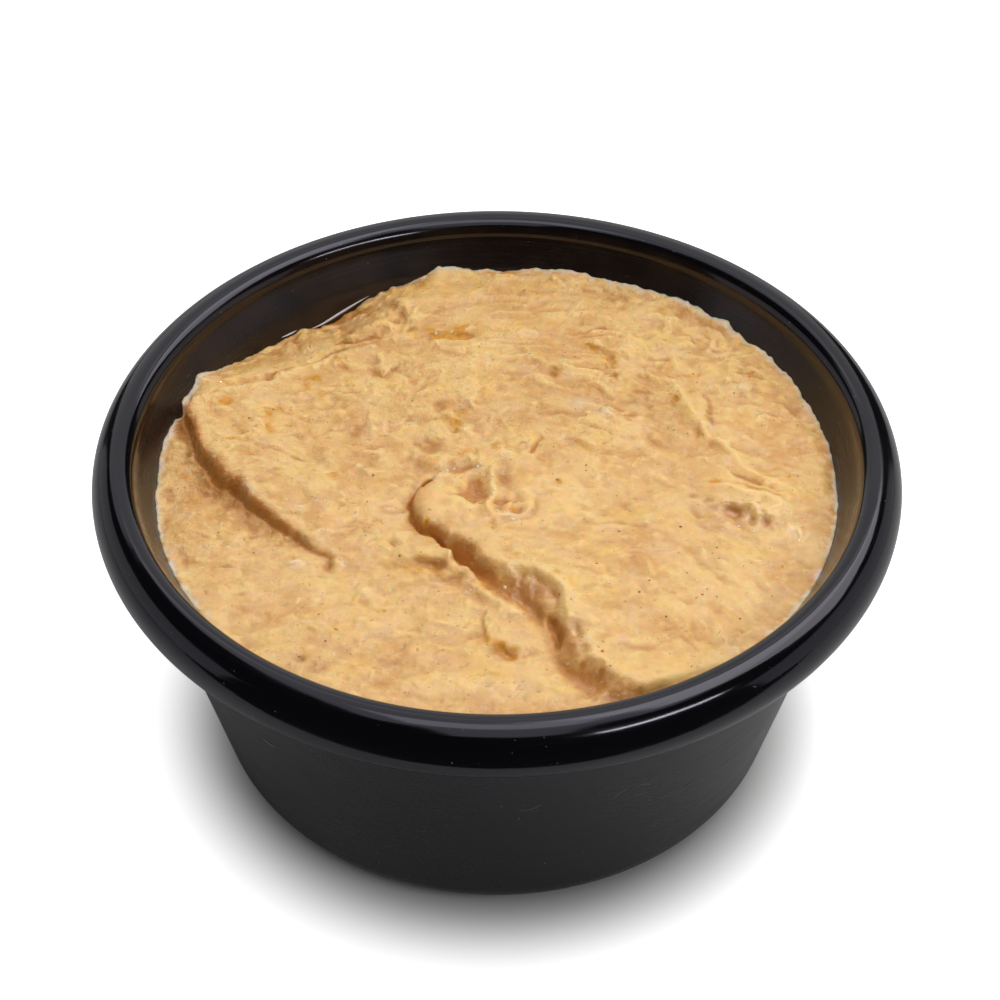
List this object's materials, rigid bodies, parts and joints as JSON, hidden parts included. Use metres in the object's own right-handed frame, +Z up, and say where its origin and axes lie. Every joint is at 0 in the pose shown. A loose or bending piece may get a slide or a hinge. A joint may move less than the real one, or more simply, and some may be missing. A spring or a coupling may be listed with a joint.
{
  "type": "hummus in a ramekin",
  "caption": "Round black ramekin with a rolled rim, filled with creamy hummus that a spoon has left in soft folds.",
  "frame": {"origin": "centre of the foot, on the surface that the ramekin stands on", "axes": "+Z up along the ramekin's axis; -Y is the side with the fold that runs down to the rim"},
  "size_m": [0.0826, 0.0826, 0.0381],
  "materials": {
    "ramekin": "moulded black melamine, glossy, with fine scratches",
    "dip": "creamy and slightly moist, with fine grain"
  },
  "bodies": {
    "root": {"bowl": "ramekin", "hummus": "dip"}
  },
  "joints": []
}
